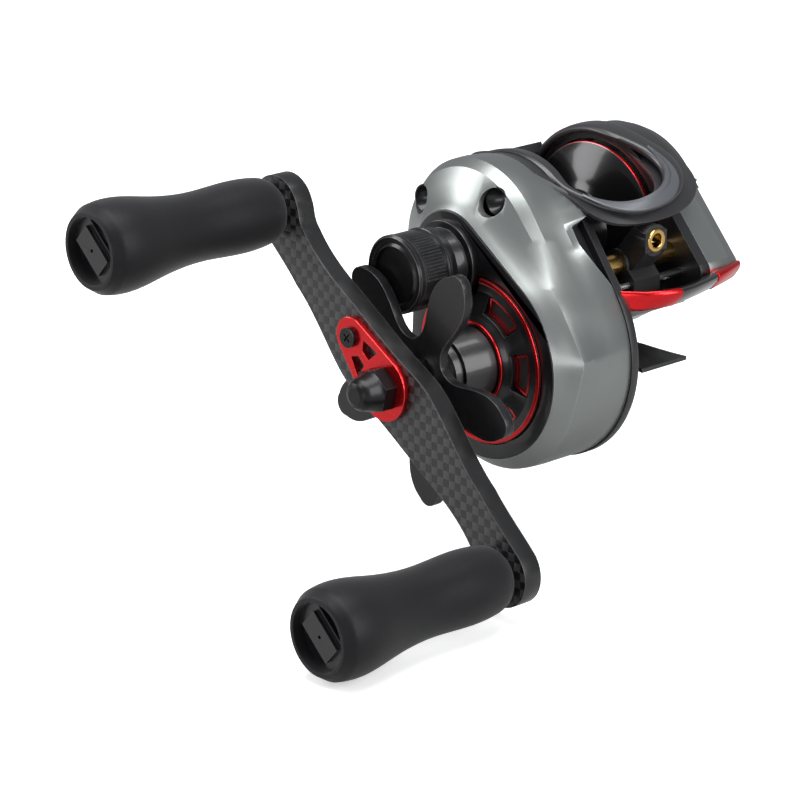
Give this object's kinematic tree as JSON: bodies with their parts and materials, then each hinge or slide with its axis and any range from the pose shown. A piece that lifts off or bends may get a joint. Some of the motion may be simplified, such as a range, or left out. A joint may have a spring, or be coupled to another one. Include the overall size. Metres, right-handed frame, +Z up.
{
  "type": "baitcasting reel",
  "caption": "Low-profile baitcasting reel with a carbon double handle, star drag, thumb clutch bar, level wind and a two-knob crank, on a saddle foot.",
  "frame": {"origin": "centre of the underside of the reel foot, on the rod's seat", "axes": "+X forward along the rod to its tip, +Y to the angler's left (palm side), +Z up; the handle is on -Y"},
  "size_m": [0.0906, 0.1363, 0.084],
  "materials": {
    "frame_black": "satin",
    "hood_grey": "matte",
    "hood_crescent": "satin",
    "cover_silver": "satin metallic paint",
    "band_black": "gloss",
    "anodised_red": "gloss anodised",
    "disc_black": "satin",
    "screen_grey": "matte",
    "star_grey": "bead blasted",
    "knob_grey": "anodised, knurled",
    "steel": "bright",
    "bearing_steel": "polished",
    "screw_black": "black oxide",
    "brass": "machined",
    "gear_plastic": "moulded",
    "drag_carbon": "woven",
    "arm_carbon": "carbon laminate",
    "knob_rubber": "matte",
    "cap_grey": "satin",
    "thumb_rubber": "matte",
    "spool_dark": "gloss anodised",
    "guide_black": "matte",
    "insert_ceramic": "polished",
    "magnet_steel": "nickel plated"
  },
  "bodies": {
    "frame": {"main_frame": "frame_black", "reel_foot": "frame_black", "foot_screws": "screw_black", "front_band": "band_black", "front_band_red": "anodised_red", "hood": "hood_grey", "hood_insert": "hood_crescent", "gear_side_cover": "cover_silver", "cover_screws": "screw_black", "drive_cover_disc": "disc_black", "disc_trim_rings": "anodised_red", "window_screen": "screen_grey", "clutch_housing": "disc_black", "one_way_bearing": "bearing_steel", "drive_shaft_bearing": "bearing_steel", "spool_bearings": "bearing_steel", "tension_boss": "knob_grey", "palm_side_plate": "cover_silver", "palm_plate_screws": "screw_black", "brake_magnets": "magnet_steel", "worm_tube": "brass", "guide_rod": "steel", "yoke_springs": "steel"},
    "drive": {"drive_shaft": "steel", "main_gear": "brass", "drag_washers": "drag_carbon", "drag_plates": "steel", "ratchet_wheel": "steel", "wind_drive_gear": "gear_plastic", "pressure_sleeve": "steel", "spring_washers": "steel", "handle_spacer": "steel", "handle_arm": "arm_carbon", "handle_nut": "screw_black", "nut_retainer": "anodised_red", "retainer_screw": "screw_black", "knob_spindles": "steel", "knob_screws": "screw_black", "knob_bearings": "bearing_steel"},
    "star": {"star_drag": "star_grey", "star_nut": "screw_black"},
    "idler": {"wind_idler_gear": "gear_plastic"},
    "worm": {"worm_shaft": "steel", "wind_worm_gear": "gear_plastic"},
    "yoke": {"pinion_yoke": "gear_plastic"},
    "pinion": {"pinion_gear": "brass"},
    "thumb": {"thumb_bar": "thumb_rubber"},
    "spool": {"spool": "spool_dark", "spool_shaft": "steel", "spool_trim_rings": "anodised_red", "brake_rotor": "spool_dark"},
    "guide": {"line_guide": "guide_black", "guide_insert": "insert_ceramic"},
    "pawl": {"guide_pawl": "steel"},
    "tension": {"tension_knob": "knob_grey"},
    "dial": {"brake_dial": "knob_grey"},
    "knob_upper": {"upper_knob_grip": "knob_rubber", "upper_knob_cap": "cap_grey"},
    "knob_lower": {"lower_knob_grip": "knob_rubber", "lower_knob_cap": "cap_grey"}
  },
  "joints": [
    {"name": "handle_turn", "type": "hinge", "parent": "frame", "child": "drive", "pos_m": [0.0055, -0.04, 0.003], "axis": [0, 1, 0], "continuous": true},
    {"name": "star_turn", "type": "hinge", "parent": "drive", "child": "star", "pos_m": [0.0055, -0.05, 0.003], "axis": [0, 1, 0], "range_deg": [-180, 180]},
    {"name": "idler_spin", "type": "hinge", "parent": "frame", "child": "idler", "pos_m": [0.01364, -0.0174, 0.01182], "axis": [0, 1, 0], "continuous": true},
    {"name": "worm_spin", "type": "hinge", "parent": "frame", "child": "worm", "pos_m": [0.0171, 0, 0.0212], "axis": [0, 1, 0], "continuous": true},
    {"name": "spool_spin", "type": "hinge", "parent": "frame", "child": "spool", "pos_m": [-0.0047, 0, 0.023], "axis": [0, 1, 0], "continuous": true},
    {"name": "thumb_press", "type": "slide", "parent": "frame", "child": "thumb", "axis": [0, 0, -1], "range_m": [0, 0.003]},
    {"name": "yoke_slide", "type": "slide", "parent": "frame", "child": "yoke", "axis": [0, -1, 0], "range_m": [0, 0.0015]},
    {"name": "pinion_spin", "type": "hinge", "parent": "yoke", "child": "pinion", "pos_m": [-0.0047, -0.02, 0.023], "axis": [0, 1, 0], "continuous": true},
    {"name": "guide_slide", "type": "slide", "parent": "frame", "child": "guide", "axis": [0, 1, 0], "range_m": [-0.0065, 0.0065]},
    {"name": "pawl_swing", "type": "hinge", "parent": "guide", "child": "pawl", "pos_m": [0.0171, 0.0005, 0.018], "axis": [0, 0, 1], "range_deg": [-25, 25]},
    {"name": "tension_turn", "type": "hinge", "parent": "frame", "child": "tension", "pos_m": [-0.0047, -0.043, 0.023], "axis": [0, 1, 0], "range_deg": [-180, 180]},
    {"name": "dial_turn", "type": "hinge", "parent": "frame", "child": "dial", "pos_m": [-0.0047, 0.025, 0.023], "axis": [0, 1, 0], "range_deg": [0, 270]},
    {"name": "upper_knob_spin", "type": "hinge", "parent": "drive", "child": "knob_upper", "pos_m": [-0.0298, -0.08, 0.03478], "axis": [0, 1, 0], "continuous": true},
    {"name": "lower_knob_spin", "type": "hinge", "parent": "drive", "child": "knob_lower", "pos_m": [0.0408, -0.08, -0.02878], "axis": [0, 1, 0], "continuous": true}
  ],
  "couplings": [
    {"joint": "spool_spin", "follows": "handle_turn", "ratio": -6.7143},
    {"joint": "pinion_spin", "follows": "handle_turn", "ratio": -6.7143},
    {"joint": "idler_spin", "follows": "handle_turn", "ratio": -0.71429},
    {"joint": "worm_spin", "follows": "handle_turn", "ratio": 1.6667},
    {"joint": "yoke_slide", "follows": "thumb_press", "ratio": 0.5}
  ]
}
